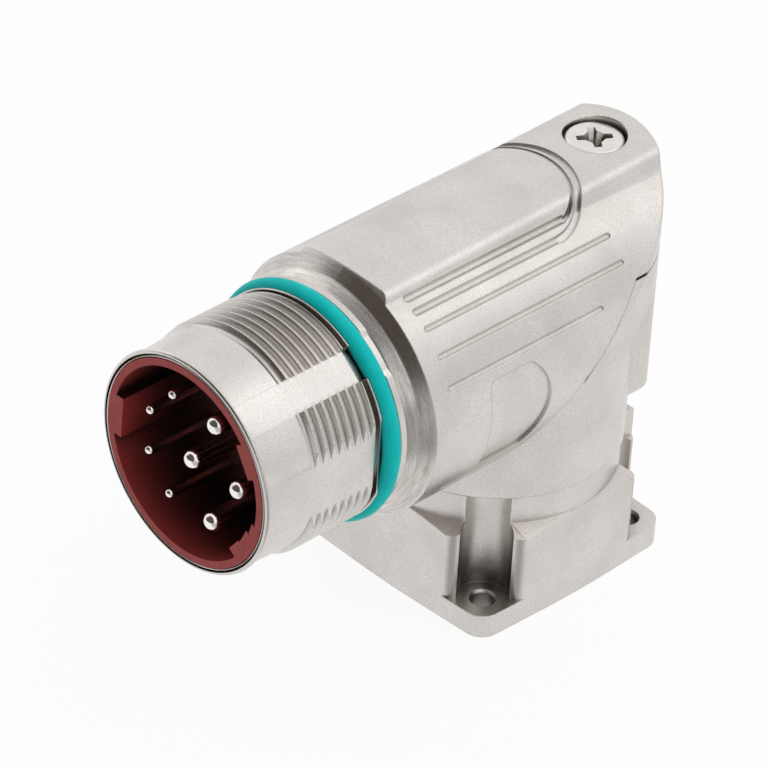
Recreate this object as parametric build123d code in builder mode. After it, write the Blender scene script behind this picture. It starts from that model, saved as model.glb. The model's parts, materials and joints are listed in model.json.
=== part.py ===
from build123d import *
from math import cos, radians, sin, sqrt
import os

os.makedirs("parts", exist_ok=True)

# Angled circular power connector, all sizes in millimetres.
# Z is the swivel axis and the flange rests on z = 0.
# The barrel axis runs along Y at barrel_height and the socket opens towards -Y.

# Fits and clearances
run_gap = 0.05              # turning fit of the neck in the flange, on the radius
seat_gap = 0.05             # parts that sit in each other and do not move
seam_gap = 0.1              # between the turning elbow and the flange
mitre_joint_gap = 0.06      # between the two housings along the mitre
ledge_joint_gap = 0.26      # between them on the ledge
contact_gap = 0.03          # round the contacts
beyond = 60.0               # clear of the whole connector

# Mounting flange
flange_half = 12.5
side_crown = 0.48
crown_blend_radius = 120
flange_corner_radius = 2.0
plate_thick = 2.5
block_height = 10.5
block_fall = 0.42           # drop of the block's top for each millimetre beyond the ring
ring_stand_out = 0.35       # of the ring beyond the block's sides
ring_radius = flange_half + ring_stand_out
ring_top = 13.5
bolt_edge = 2.6
bolt_half = flange_half - bolt_edge
bolt_spacing = 2 * bolt_half
bolt_hole_radius = 1.1
bolt_hole_bevel = 0.25
pocket_reach = 2.5          # from a bolt hole's axis to the walls of its pocket
pocket_wall = bolt_half - pocket_reach
pocket_edge_round = 0.4
scallop_radius = 2.55
post_width = 1.8
post_depth = 1.5
post_drop = 0.5
post_top = ring_top - post_drop

# Swivel neck, its retaining ring and its seals
neck_inside_ring = 4.45
neck_radius = ring_radius - neck_inside_ring
neck_wall = 1.8
neck_bore_radius = neck_radius - neck_wall
neck_end = 2.6
retainer_room_width = 1.4
retainer_room_radius = neck_radius + retainer_room_width
retainer_room_height = 4.4
retainer_stand_out = 1.0
retainer_radius = neck_radius + retainer_stand_out
retainer_thick = 0.8
neck_groove_depth = 0.8
retainer_groove_radius = neck_radius - neck_groove_depth
retainer_gap_width = 2.4
neck_seal_height = 8.0
neck_seal_section = 0.45
neck_seal_groove_depth = 0.95
neck_seal_groove_radius = neck_radius - neck_seal_groove_depth
gasket_edge = 0.5
gasket_width = 1.3
gasket_groove_outer = flange_half - gasket_edge
gasket_groove_inner = gasket_groove_outer - gasket_width
gasket_groove_depth = 1.0

# Rotation stop and slide ring inside the raised ring
stop_track_wall = 1.55
stop_track_width = 1.0
stop_track_depth = 1.1
stop_track_outer = ring_radius - stop_track_wall
stop_track_inner = stop_track_outer - stop_track_width
stop_block_half_angle = 8
stop_pin_radius = 0.4
slide_ring_wall = 0.3
slide_ring_radius = stop_track_inner - slide_ring_wall
slide_ring_thick = 0.65

# Elbow column; the barrel just clears the ring when it swivels
column_overhang = 0.2
column_radius = ring_radius + column_overhang
column_bottom = ring_top + seam_gap
column_wall = 2.05
column_cavity_radius = column_radius - column_wall
column_floor_thick = 2.0
column_floor = column_bottom + column_floor_thick
barrel_overhang = 0.15
barrel_radius = column_radius + barrel_overhang
barrel_clearance = 0.6
barrel_height = ring_top + barrel_clearance + barrel_radius
ledge_height = 6.1          # above the barrel axis
flare_drop = 3.3
flare_start = barrel_height - flare_drop
flare_radius = 9.3
flare_turn = 50             # degrees of arc before the flare runs straight up
rear_overhang = 3.4
rear_reach = barrel_radius + rear_overhang
boss_side_step = 4.0
boss_half_width = barrel_radius - boss_side_step
boss_corner_round = 1.5
boss_rise = 2.9
boss_bottom = column_bottom + boss_rise
boss_bottom_round = 0.8

# Upper housing, heights above the barrel axis
barrel_front = -23.35
nose_drop = 1.85
nose_radius = barrel_radius - nose_drop
bevel_front = -22.2
bevel_drop = 1.05
bevel_inner_radius = barrel_radius - bevel_drop
top_rise_front = 0.1        # middle of the crowned top over the barrel at bevel_front
top_rise_rear = 0.9         # the same at the cover screw
top_height_front = barrel_radius + top_rise_front
top_height_rear = barrel_radius + top_rise_rear
top_half_width = 5.6
top_crown_radius = 22.0
top_edge_round = 1.4
top_foot_angle = 58         # where the hollow sides of the top meet the barrel
top_side_hollow = 0.3
rear_top_round = 0.3
barrel_wall = 2.3
barrel_bore_radius = barrel_radius - barrel_wall
barrel_cavity_start = -12.4
barrel_cavity_wall = 2.0
barrel_cavity_radius = barrel_radius - barrel_cavity_wall

# Marks cut into the upper housing: straight grooves, two arches over the top that join the upper grooves,
# and shallow side recesses
groove_lift = 0.06          # groove centre outside the barrel's surface
groove_start = -18.8
arch_groove_angle = 56.5
inner_groove_angle = 63
arch_start = -0.4
arch_length = 6.55
inner_arch_start = 1.4
inner_arch_length = 3.9
inner_arch_half = 0.16
# angle round the barrel, front end, rear end, radius of the cutter
grooves = (
    (inner_groove_angle, groove_start, inner_arch_start, 0.38),
    (arch_groove_angle, groove_start, arch_start, 0.38),
    (48.5, groove_start, 4.9, 0.3),
    (36.2, groove_start, 5.0, 0.3),
    (22.8, groove_start, 1.0, 0.3),
    (-34.4, -17.6, -9.4, 0.3),
)
arch_half = 0.33
mark_depth = 0.25
recess_front = -14.0
recess_back = -6.1
recess_corner = -8.6
recess_top = 3.8
recess_bottom = -6.2
recess_round = 0.8

# Cover screw
screw_from_rear = 4.87
screw_position = rear_reach - screw_from_rear
cavity_to_screw = 3.53
cavity_rear = screw_position - cavity_to_screw
screw_head_sink = 0.3
screw_head_top = barrel_height + top_height_rear - screw_head_sink
screw_head_radius = 2.7
screw_head_height = 2.0
screw_head_round = 0.45
cross_length = 3.5
cross_width = 0.92
cross_turn = 57
cross_depth = 1.5
cross_taper = 12
screw_shank_radius = 1.5
screw_length = 16.0
screw_hole_radius = 1.65
screw_thread_radius = 1.52
screw_thread_depth = 13.0
counterbore_radius = 3.15
washer_radius = 2.95
washer_thick = 0.4

# Housing gasket
gasket_thick = 0.4
gasket_inset = 1.0          # from the barrel's outside
gasket_side_width = 0.7
gasket_rear_clearance = 0.6
gasket_rear_width = 0.8
gasket_outer = barrel_radius - gasket_inset
gasket_inner = gasket_outer - gasket_side_width
gasket_rear_inner = cavity_rear + gasket_rear_clearance
gasket_rear_outer = gasket_rear_inner + gasket_rear_width

# Coupling sleeve, positions along Y from the socket mouth
mouth = -40.3
sleeve_drop = 2.1
lip_radius = barrel_radius - sleeve_drop
lip_edge_round = 0.35
thread_start = -34.7
thread_end = -26.7
thread_height = 0.4
thread_radius = lip_radius + thread_height
undercut_depth = 0.5
undercut_radius = lip_radius - undercut_depth
seal_fence_front = -26.15
seal_groove_front = -25.9
seal_groove_rear = -23.9
seal_groove_depth = 0.85
seal_groove_radius = lip_radius - seal_groove_depth
coupling_seal_section = 0.95
collar_height = 0.2
collar_radius = lip_radius + collar_height
collar_notch_width = 4.4
collar_notch_depth = 0.7
slot_angles = (50, 130, 230, 310)
slot_width = 3.3
slot_depth = 0.17           # below the lip
side_flat_depth = 0.4       # of the two side flats, below the lip
stub_radius = barrel_bore_radius - seat_gap
stub_seal_position = -19.5
stub_seal_section = 0.48
stub_groove_depth = 0.97
stub_groove_radius = stub_radius - stub_groove_depth
stub_groove_half = 0.6
sleeve_rear = -12.8
mouth_wall = 0.7
sleeve_mouth_radius = lip_radius - mouth_wall
sleeve_step = -31.0
sleeve_wall = 1.7
sleeve_bore_radius = lip_radius - sleeve_wall

# Contact insert
insert_radius = sleeve_mouth_radius - seat_gap
insert_rear_radius = sleeve_bore_radius - seat_gap
cup_wall = 0.75
cup_radius = insert_radius - cup_wall
cup_floor = -31.8
insert_rear = -24.0
# coding keys: angle, half width, height over the cup's wall
keys = ((177.3, 2.2, 1.2), (30, 1.7, 0.9), (-14, 0.65, 0.4), (-24.5, 1.0, 0.8), (-36.7, 0.95, 1.0))
seal_mat_front = -23.9
seal_mat_rear = -22.9
carrier_front = -22.8
carrier_rear = -14.6
carrier_radius = insert_rear_radius - seat_gap
spring_front = -20.6
spring_rear = -16.6
spring_recess_depth = 0.8
spring_recess_radius = sleeve_bore_radius - spring_recess_depth
spring_slot_count = 12
spring_slot_width = 0.8
spring_foot = 1.0           # closed band at the spring's rear end
insert_ring_front = -14.5
insert_ring_rear = -13.7
insert_ring_bite = 0.35
insert_ring_outer = sleeve_bore_radius + insert_ring_bite
insert_ring_width = 1.65
insert_ring_inner = insert_ring_outer - insert_ring_width
insert_ring_gap_width = 2.6

# Contacts, in a ring seen from the mouth, angles from +X
power_tip = -40.0
signal_tip = -39.55
contact_rear = -9.0
power_ring_inset = 2.5      # of the contact rings from the spring's recess
signal_ring_inset = 2.3
power_ring_radius = spring_recess_radius - power_ring_inset
signal_ring_radius = spring_recess_radius - signal_ring_inset
power_angles = (62, 0, -62)
signal_angles = (118, 159, 201, 242)
power_pin_radius = 1.0
power_barrel_radius = 1.75
signal_pin_radius = 0.5
signal_barrel_radius = 1.1
wire_depth = 4.0
solder_cup_share = 0.68     # bore of the solder cup compared with its outside

barrel_axis = Axis((0, 0, barrel_height), (0, 1, 0))


def cross_plane(y):
    """Plane across the barrel at y, looking from the mouth: local x is +X and local y is up."""
    return Plane(origin=(0, y, barrel_height), x_dir=(1, 0, 0), z_dir=(0, -1, 0))


def contact_place(ring, angle):
    """Position of a contact in a cross plane."""
    return (ring * cos(radians(angle)), ring * sin(radians(angle)))


power_places = [(0, 0)] + [contact_place(power_ring_radius, a) for a in power_angles]
signal_places = [contact_place(signal_ring_radius, a) for a in signal_angles]

# Side profile of the mating face between the housings: mitre, then ledge, as seen from +X
mitre_far = 20.0
ledge_top = barrel_height + ledge_height


def above_mitre(drop, ledge_drop=0):
    """Closed side profile of everything above the mating face, lowered by drop.

    The ledge is lowered by ledge_drop more.
    """
    low = barrel_height - mitre_far - drop
    ledge = ledge_top - drop - ledge_drop
    return [
        (-beyond, low), (-mitre_far, low), (ledge_height - ledge_drop, ledge),
        (beyond, ledge), (beyond, beyond), (-beyond, beyond),
    ]


# Mounting flange: crowned square block, cored corners, raised ring and bored neck seat
with BuildPart() as mounting_flange:
    with BuildSketch() as flange_outline:
        with BuildLine():
            edge_mid = flange_half + side_crown
            Polyline(
                (flange_half, flange_half), (0, edge_mid), (-flange_half, flange_half), (-edge_mid, 0),
                (-flange_half, -flange_half), (0, -edge_mid), (flange_half, -flange_half), (edge_mid, 0),
                close=True,
            )
        make_face()
        corners = flange_outline.vertices().filter_by(lambda v: abs(v.X) > 1 and abs(v.Y) > 1)
        fillet(corners, flange_corner_radius)
        middles = flange_outline.vertices().filter_by(lambda v: min(abs(v.X), abs(v.Y)) < 0.01)
        fillet(middles, crown_blend_radius)
    extrude(amount=block_height)
    with BuildSketch(Plane.XZ):
        far = 2 * flange_half
        Polygon(
            (ring_radius, block_height), (far, block_height - block_fall * (far - ring_radius)), (far, far),
            (ring_radius, far), align=None,
        )
    revolve(axis=Axis.Z, mode=Mode.SUBTRACT)
    with BuildSketch(Plane.XY.offset(plate_thick)):
        Circle(ring_radius)
    extrude(amount=ring_top - plate_thick)
    # corner pockets over the bolt holes, with a scallop that runs up through the ring
    with BuildSketch(Plane.XY.offset(plate_thick)):
        chord = bolt_half + sqrt(scallop_radius**2 - (bolt_half - pocket_wall) ** 2)
        with PolarLocations(0, 4):
            Polygon(
                (pocket_wall, far), (pocket_wall, chord), (chord, pocket_wall),
                (far, pocket_wall), (far, far),
                align=None,
            )
        with GridLocations(bolt_spacing, bolt_spacing, 2, 2):
            Circle(scallop_radius)
    extrude(amount=ring_top, mode=Mode.SUBTRACT)
    upright_edges = mounting_flange.edges().filter_by(Axis.Z)
    pocket_edges = upright_edges.filter_by(
        lambda e: abs(min(abs(e.center().X), abs(e.center().Y)) - pocket_wall) < 0.01
    )
    outer_edges = pocket_edges.filter_by(lambda e: max(abs(e.center().X), abs(e.center().Y)) > flange_half)
    fillet(outer_edges, pocket_edge_round)
    # cast post beside the ring at the rear
    with BuildSketch(Plane.XY.offset(plate_thick)):
        with Locations((pocket_wall - post_width / 2, flange_half - post_depth / 2)):
            Rectangle(post_width, post_depth)
    extrude(amount=post_top - plate_thick)
    # neck bore, room for the retaining ring, seat of the slide ring and track of the stop pin
    with BuildSketch():
        Circle(neck_radius + run_gap)
    extrude(amount=ring_top, mode=Mode.SUBTRACT)
    with BuildSketch():
        Circle(retainer_room_radius)
    extrude(amount=retainer_room_height, mode=Mode.SUBTRACT)
    with BuildSketch(Plane.XY.offset(ring_top)):
        Circle(slide_ring_radius + seat_gap)
    extrude(amount=-slide_ring_thick, mode=Mode.SUBTRACT)
    with BuildSketch(Plane.XY.offset(ring_top)) as stop_track:
        Circle(stop_track_outer)
        Circle(stop_track_inner, mode=Mode.SUBTRACT)
        reach = 2 * stop_track_outer
        half_span = reach * sin(radians(stop_block_half_angle))
        Polygon((0, 0), (half_span, reach), (-half_span, reach), align=None, mode=Mode.SUBTRACT)
    extrude(amount=-stop_track_depth, mode=Mode.SUBTRACT)
    # groove of the panel gasket in the underside
    with BuildSketch():
        Circle(gasket_groove_outer)
        Circle(gasket_groove_inner, mode=Mode.SUBTRACT)
    extrude(amount=gasket_groove_depth, mode=Mode.SUBTRACT)
    # bolt holes with a bevel at both ends
    with Locations(Plane.XY.offset(plate_thick)):
        with GridLocations(bolt_spacing, bolt_spacing, 2, 2):
            CounterSinkHole(bolt_hole_radius, bolt_hole_radius + bolt_hole_bevel, plate_thick, 90)
mounting_flange.part.label = "mounting_flange"
export_step(mounting_flange.part, "parts/mounting_flange.step")

# Panel gasket, flush with the underside
with BuildPart() as flange_gasket:
    with BuildSketch():
        Circle(gasket_groove_outer - seat_gap)
        Circle(gasket_groove_inner + seat_gap, mode=Mode.SUBTRACT)
    extrude(amount=gasket_groove_depth - seat_gap)
flange_gasket.part.label = "flange_gasket"
export_step(flange_gasket.part, "parts/flange_gasket.step")

# Thrust washer between elbow and flange
with BuildPart() as slide_ring:
    with BuildSketch(Plane.XY.offset(ring_top - slide_ring_thick + seat_gap / 2)):
        Circle(slide_ring_radius)
        Circle(neck_radius + 2 * run_gap, mode=Mode.SUBTRACT)
    extrude(amount=slide_ring_thick)
slide_ring.part.label = "slide_ring"
export_step(slide_ring.part, "parts/slide_ring.step")

# Housing gasket: a thin frame that follows mitre and ledge
with BuildPart() as housing_gasket:
    with BuildSketch():
        Circle(gasket_outer)
        with Locations((0, rear_reach / 2)):
            Rectangle(beyond, rear_reach, mode=Mode.SUBTRACT)
        Ellipse(gasket_outer, gasket_rear_outer)
    extrude(amount=2 * barrel_height)
    with BuildSketch():
        Circle(gasket_inner)
        with Locations((0, rear_reach / 2)):
            Rectangle(beyond, rear_reach, mode=Mode.SUBTRACT)
        Ellipse(gasket_inner, gasket_rear_inner)
    extrude(amount=2 * barrel_height, mode=Mode.SUBTRACT)
    with BuildSketch(Plane.YZ.offset(-beyond)):
        Polygon(*above_mitre(gasket_thick + mitre_joint_gap), align=None)
    extrude(amount=2 * beyond, mode=Mode.INTERSECT)
    with BuildSketch(Plane.YZ.offset(-beyond)):
        Polygon(*above_mitre(mitre_joint_gap / 2), align=None)
    extrude(amount=2 * beyond, mode=Mode.SUBTRACT)
housing_gasket.part.label = "housing_gasket"
export_step(housing_gasket.part, "parts/housing_gasket.step")

# Elbow: column with a curved flare and a rear boss, all inside an arch that continues the barrel
with BuildPart() as elbow_housing:
    flare_top = flare_start + flare_radius * sin(radians(flare_turn))
    flare_reach = column_radius + flare_radius * (1 - cos(radians(flare_turn)))
    with BuildSketch(Plane.XZ):
        with BuildLine():
            CenterArc((column_radius + flare_radius, flare_start), flare_radius, 180, -flare_turn)
            Polyline(
                (flare_reach, flare_top), (flare_reach, ledge_top), (0, ledge_top), (0, flare_start),
                (column_radius, flare_start),
            )
        make_face()
    revolve(axis=Axis.Z)
    with BuildSketch():
        Ellipse(barrel_radius, rear_reach)
        with Locations((0, -rear_reach / 2)):
            Rectangle(2 * rear_reach, rear_reach)
    extrude(amount=ledge_top, mode=Mode.INTERSECT)
    with BuildSketch(Plane.XY.offset(boss_bottom)) as boss_outline:
        Ellipse(barrel_radius, rear_reach)
        with Locations((0, rear_reach / 2)):
            Rectangle(2 * boss_half_width, rear_reach, mode=Mode.INTERSECT)
        fillet(boss_outline.vertices().filter_by(lambda v: v.Y > column_cavity_radius), boss_corner_round)
    extrude(amount=ledge_top - boss_bottom)
    low_edges = elbow_housing.edges().filter_by(lambda e: abs(e.center().Z - boss_bottom) < 0.01)
    fillet(low_edges.filter_by(lambda e: e.center().Y > 1), boss_bottom_round)
    with BuildSketch(Plane.XY.offset(column_bottom)):
        Circle(column_radius)
    extrude(amount=ledge_top - column_bottom)
    with BuildSketch(Plane.XZ.offset(-beyond)):
        with Locations((0, barrel_height)):
            Circle(barrel_radius)
        with Locations((0, barrel_height / 2)):
            Rectangle(2 * barrel_radius, barrel_height)
    extrude(amount=2 * beyond, mode=Mode.INTERSECT)
    # neck with grooves for its seal and retaining ring
    with BuildSketch(Plane.XY.offset(neck_end)):
        Circle(neck_radius)
    extrude(amount=column_bottom - neck_end)
    with BuildSketch(Plane.XY.offset(retainer_room_height - retainer_thick - 2 * seam_gap)):
        Circle(retainer_room_radius)
        Circle(retainer_groove_radius - seat_gap, mode=Mode.SUBTRACT)
    extrude(amount=retainer_thick + 2 * seat_gap, mode=Mode.SUBTRACT)
    with BuildSketch(Plane.XY.offset(neck_seal_height - neck_seal_section - seat_gap)):
        Circle(retainer_room_radius)
        Circle(neck_seal_groove_radius, mode=Mode.SUBTRACT)
    extrude(amount=2 * (neck_seal_section + seat_gap), mode=Mode.SUBTRACT)
    # wire passage and cavity
    with BuildSketch():
        Circle(neck_bore_radius)
    extrude(amount=column_floor, mode=Mode.SUBTRACT)
    with BuildSketch(Plane.XY.offset(column_floor)):
        Circle(column_cavity_radius)
        with Locations((0, rear_reach / 2)):
            Rectangle(beyond, rear_reach, mode=Mode.SUBTRACT)
        Ellipse(column_cavity_radius, cavity_rear)
    extrude(amount=barrel_height, mode=Mode.SUBTRACT)
    # mitred top, with a seat for the gasket
    with BuildSketch(Plane.YZ.offset(-beyond)):
        Polygon(*above_mitre(mitre_joint_gap, ledge_joint_gap - mitre_joint_gap), align=None)
    extrude(amount=2 * beyond, mode=Mode.SUBTRACT)
    add(housing_gasket.part, mode=Mode.SUBTRACT)
    # stop pin under the front of the column
    with BuildSketch(Plane.XY.offset(ring_top - stop_track_depth + seam_gap)):
        with Locations((0, -(stop_track_inner + stop_track_outer) / 2)):
            Circle(stop_pin_radius)
    extrude(amount=stop_track_depth)
    # threaded hole of the cover screw
    with BuildSketch(Plane.XY.offset(ledge_top)):
        with Locations((0, screw_position)):
            Circle(screw_thread_radius)
    extrude(amount=-screw_thread_depth, mode=Mode.SUBTRACT)
elbow_housing.part.label = "elbow_housing"
export_step(elbow_housing.part, "parts/elbow_housing.step")

# Neck seal and split retaining ring
with BuildPart() as neck_o_ring:
    with BuildSketch(Plane.XZ):
        with Locations((neck_seal_groove_radius + neck_seal_section + seat_gap / 2, neck_seal_height)):
            Circle(neck_seal_section)
    revolve(axis=Axis.Z)
neck_o_ring.part.label = "neck_o_ring"
export_step(neck_o_ring.part, "parts/neck_o_ring.step")

with BuildPart() as neck_retaining_ring:
    with BuildSketch(Plane.XY.offset(retainer_room_height - retainer_thick - 2 * seam_gap + seat_gap)):
        Circle(retainer_radius)
        Circle(retainer_groove_radius, mode=Mode.SUBTRACT)
        with Locations((0, -retainer_radius)):
            Rectangle(retainer_gap_width, retainer_radius, mode=Mode.SUBTRACT)
    extrude(amount=retainer_thick)
neck_retaining_ring.part.label = "neck_retaining_ring"
export_step(neck_retaining_ring.part, "parts/neck_retaining_ring.step")


def hood_form(inset):
    """Barrel with its raised, crowned top, before any cut; inset moves the outside inwards."""
    reach = rear_reach - barrel_front
    slope = (top_height_rear - top_height_front) / (screw_position - bevel_front)
    crown = top_height_rear + slope * (rear_reach - screw_position) - inset
    half_width = top_half_width - inset
    shoulder = crown - top_crown_radius + sqrt(top_crown_radius**2 - half_width**2)
    foot_x, foot_y = contact_place(barrel_radius - inset, top_foot_angle)
    hollow = ((half_width + foot_x) / 2 - top_side_hollow, (shoulder + foot_y) / 2 - top_side_hollow)
    with BuildPart() as form:
        with BuildSketch(cross_plane(rear_reach)):
            Circle(barrel_radius - inset)
        extrude(amount=reach)
        with BuildSketch(cross_plane(rear_reach)) as raised_top:
            with BuildLine():
                ThreePointArc((-half_width, shoulder), (0, crown), (half_width, shoulder))
                ThreePointArc((half_width, shoulder), hollow, (foot_x, foot_y))
                Line((foot_x, foot_y), (-foot_x, foot_y))
                ThreePointArc((-foot_x, foot_y), (-hollow[0], hollow[1]), (-half_width, shoulder))
            make_face()
            fillet(raised_top.vertices().sort_by(Axis.Y)[-2:], top_edge_round)
        # the top falls towards the front, so its section is carried along a sloping line
        extrude(amount=reach * sqrt(1 + slope**2), dir=(0, -1, -slope))
    return form.part


# Cavity for the wires behind the sleeve
with BuildPart() as hood_cavity:
    with BuildSketch(cross_plane(barrel_cavity_start)):
        Circle(barrel_cavity_radius)
    extrude(amount=barrel_cavity_start - rear_reach)
    with BuildSketch():
        Ellipse(barrel_cavity_radius, cavity_rear)
        with Locations((0, barrel_front)):
            Rectangle(beyond, -2 * barrel_front)
    extrude(amount=2 * barrel_height, mode=Mode.INTERSECT)

# Shallow marks, cut only as deep as the skin between the outside and its inset copy
hood_core = hood_form(mark_depth)
with BuildPart() as arch_grooves:
    for angle, middle, length, half in (
        (arch_groove_angle, arch_start, arch_length, arch_half),
        (inner_groove_angle, inner_arch_start, inner_arch_length, inner_arch_half),
    ):
        with BuildSketch(Plane.XY.offset(ledge_top)):
            reach = barrel_radius * cos(radians(angle))
            with Locations((0, middle)):
                Ellipse(reach + half, length + half)
                Ellipse(reach - half, length - half, mode=Mode.SUBTRACT)
            with Locations((0, middle - rear_reach / 2)):
                Rectangle(beyond, rear_reach, mode=Mode.SUBTRACT)
        extrude(amount=barrel_radius)
    add(hood_core, mode=Mode.SUBTRACT)
with BuildPart() as side_recesses:
    with BuildSketch(Plane.YZ.offset(-barrel_radius)) as recess_outline:
        with BuildLine():
            top = barrel_height + recess_top
            bottom = barrel_height + recess_bottom
            ThreePointArc((recess_corner, top), (recess_back, (top + bottom) / 2), (recess_corner, bottom))
            Polyline(
                (recess_corner, bottom), (recess_front, bottom), (recess_front, top), (recess_corner, top),
            )
        make_face()
        fillet(recess_outline.vertices(), recess_round)
    extrude(amount=2 * barrel_radius)
    add(hood_core, mode=Mode.SUBTRACT)

# Upper housing: the barrel and its top run back over the elbow as a hood
with BuildPart() as upper_housing:
    add(hood_form(0))
    with BuildSketch():
        Ellipse(barrel_radius, rear_reach)
        with Locations((0, barrel_front)):
            Rectangle(beyond, -2 * barrel_front)
    extrude(amount=2 * barrel_height, mode=Mode.INTERSECT)
    with BuildSketch(Plane.YZ.offset(-beyond)):
        Polygon(*above_mitre(0), align=None)
    extrude(amount=2 * beyond, mode=Mode.INTERSECT)
    # round the rear edge of the hood
    rear_edges = upper_housing.edges().filter_by(
        lambda e: e.center().Y > cavity_rear and e.center().Z > ledge_top + rear_top_round
    )
    fillet(rear_edges.filter_by(GeomType.LINE, reverse=True), rear_top_round)
    # sloping nose and bevel round the front, the bevel also ends the raised top
    with BuildSketch(Plane.YZ):
        bevel_far = 2 * barrel_radius
        Polygon(
            (barrel_front, barrel_height + nose_radius), (bevel_front, barrel_height + bevel_inner_radius),
            (bevel_front + bevel_far, barrel_height + bevel_inner_radius + bevel_far),
            (barrel_front, barrel_height + bevel_inner_radius + bevel_far), align=None,
        )
    revolve(axis=barrel_axis, mode=Mode.SUBTRACT)
    # bore for the sleeve, then the wire cavity
    with BuildSketch(cross_plane(barrel_front)):
        Circle(barrel_bore_radius)
    extrude(amount=barrel_front - barrel_cavity_start, mode=Mode.SUBTRACT)
    add(hood_cavity.part, mode=Mode.SUBTRACT)
    # counterbore and through hole of the cover screw
    for radius, floor in (
        (counterbore_radius, screw_head_top - screw_head_height - washer_thick - seat_gap),
        (screw_hole_radius, barrel_height),
    ):
        with BuildSketch(Plane.XY.offset(floor)):
            with Locations((0, screw_position)):
                Circle(radius)
        extrude(amount=barrel_height, mode=Mode.SUBTRACT)
    # straight grooves along both sides, each a rounded capsule cut into the barrel's surface
    for angle, front_end, rear_end, cutter_radius in grooves:
        for side_angle in (angle, 180 - angle):
            across, up = contact_place(barrel_radius + groove_lift, side_angle)
            with BuildSketch(cross_plane(rear_end)):
                with Locations((across, up)):
                    Circle(cutter_radius)
            extrude(amount=rear_end - front_end, mode=Mode.SUBTRACT)
            with Locations((across, front_end, barrel_height + up), (across, rear_end, barrel_height + up)):
                Sphere(cutter_radius, mode=Mode.SUBTRACT)
    add(arch_grooves.part, mode=Mode.SUBTRACT)
    add(side_recesses.part, mode=Mode.SUBTRACT)
upper_housing.part.label = "upper_housing"
export_step(upper_housing.part, "parts/upper_housing.step")

# Cover screw with a cross recess, and its washer
with BuildPart() as cover_screw:
    with BuildSketch(Plane.XY.offset(screw_head_top)):
        with Locations((0, screw_position)):
            Circle(screw_head_radius)
    extrude(amount=-screw_head_height)
    fillet(cover_screw.edges().group_by(Axis.Z)[-1], screw_head_round)
    with BuildSketch(Plane.XY.offset(screw_head_top - screw_head_height)):
        with Locations((0, screw_position)):
            Circle(screw_shank_radius)
    extrude(amount=-screw_length)
    with BuildSketch(Plane.XY.offset(screw_head_top)):
        with Locations(Location((0, screw_position, 0), (0, 0, cross_turn))):
            Rectangle(cross_length, cross_width)
            Rectangle(cross_width, cross_length)
            Circle(cross_width)
    extrude(amount=-cross_depth, taper=cross_taper, mode=Mode.SUBTRACT)
cover_screw.part.label = "cover_screw"
export_step(cover_screw.part, "parts/cover_screw.step")

with BuildPart() as screw_washer:
    with BuildSketch(Plane.XY.offset(screw_head_top - screw_head_height - seat_gap / 2)):
        with Locations((0, screw_position)):
            Circle(washer_radius)
            Circle(screw_hole_radius, mode=Mode.SUBTRACT)
    extrude(amount=-washer_thick)
screw_washer.part.label = "screw_washer"
export_step(screw_washer.part, "parts/screw_washer.step")

# Coupling sleeve: turned profile, then the milled gaps that interrupt its thread
with BuildPart() as coupling_sleeve:
    with BuildSketch(Plane.YZ) as sleeve_profile:
        outline = [
            (mouth, sleeve_mouth_radius), (mouth, lip_radius), (thread_start, lip_radius),
            (thread_start, thread_radius), (thread_end, thread_radius), (thread_end, undercut_radius),
            (seal_fence_front, undercut_radius), (seal_fence_front, thread_radius),
            (seal_groove_front, thread_radius), (seal_groove_front, seal_groove_radius),
            (seal_groove_rear, seal_groove_radius),
            (seal_groove_rear, collar_radius), (barrel_front - seat_gap, collar_radius),
            (barrel_front - seat_gap, stub_radius), (stub_seal_position - stub_groove_half, stub_radius),
            (stub_seal_position - stub_groove_half, stub_groove_radius),
            (stub_seal_position + stub_groove_half, stub_groove_radius),
            (stub_seal_position + stub_groove_half, stub_radius),
            (sleeve_rear, stub_radius), (sleeve_rear, sleeve_bore_radius),
            (insert_ring_rear + seat_gap, sleeve_bore_radius),
            (insert_ring_rear + seat_gap, insert_ring_outer),
            (insert_ring_front - seat_gap, insert_ring_outer),
            (insert_ring_front - seat_gap, sleeve_bore_radius),
            (sleeve_step, sleeve_bore_radius), (sleeve_step, sleeve_mouth_radius),
        ]
        Polygon(*[(y, barrel_height + r) for y, r in outline], align=None)
        front_corner = sleeve_profile.vertices().filter_by(
            lambda v: abs(v.Y - mouth) < 0.01 and abs(v.Z - barrel_height - lip_radius) < 0.01
        )
        fillet(front_corner, lip_edge_round)
    revolve(axis=barrel_axis)
    milled_length = seal_groove_front - thread_start
    collar_length = barrel_front - seat_gap - seal_groove_rear
    for angle in slot_angles:
        with BuildSketch(cross_plane(seal_groove_front)):
            with Locations(Location((0, 0, 0), (0, 0, angle))):
                with Locations((thread_radius, 0)):
                    Rectangle(2 * (thread_height + slot_depth), slot_width)
        extrude(amount=milled_length, mode=Mode.SUBTRACT)
        with BuildSketch(cross_plane(barrel_front - seat_gap)):
            with Locations(Location((0, 0, 0), (0, 0, angle))):
                with Locations((collar_radius, 0)):
                    Rectangle(2 * collar_notch_depth, collar_notch_width)
        extrude(amount=collar_length, mode=Mode.SUBTRACT)
    with BuildSketch(cross_plane(seal_groove_front)):
        for side in (-1, 1):
            with Locations((side * thread_radius, 0)):
                Rectangle(2 * (thread_height + side_flat_depth), 2 * thread_radius)
    extrude(amount=milled_length, mode=Mode.SUBTRACT)
coupling_sleeve.part.label = "coupling_sleeve"
export_step(coupling_sleeve.part, "parts/coupling_sleeve.step")

# Round seals on the sleeve
with BuildPart() as coupling_o_ring:
    with BuildSketch(Plane.YZ):
        with Locations((
            (seal_groove_front + seal_groove_rear) / 2,
            barrel_height + seal_groove_radius + coupling_seal_section,
        )):
            Circle(coupling_seal_section)
    revolve(axis=barrel_axis)
coupling_o_ring.part.label = "coupling_o_ring"
export_step(coupling_o_ring.part, "parts/coupling_o_ring.step")

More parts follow.
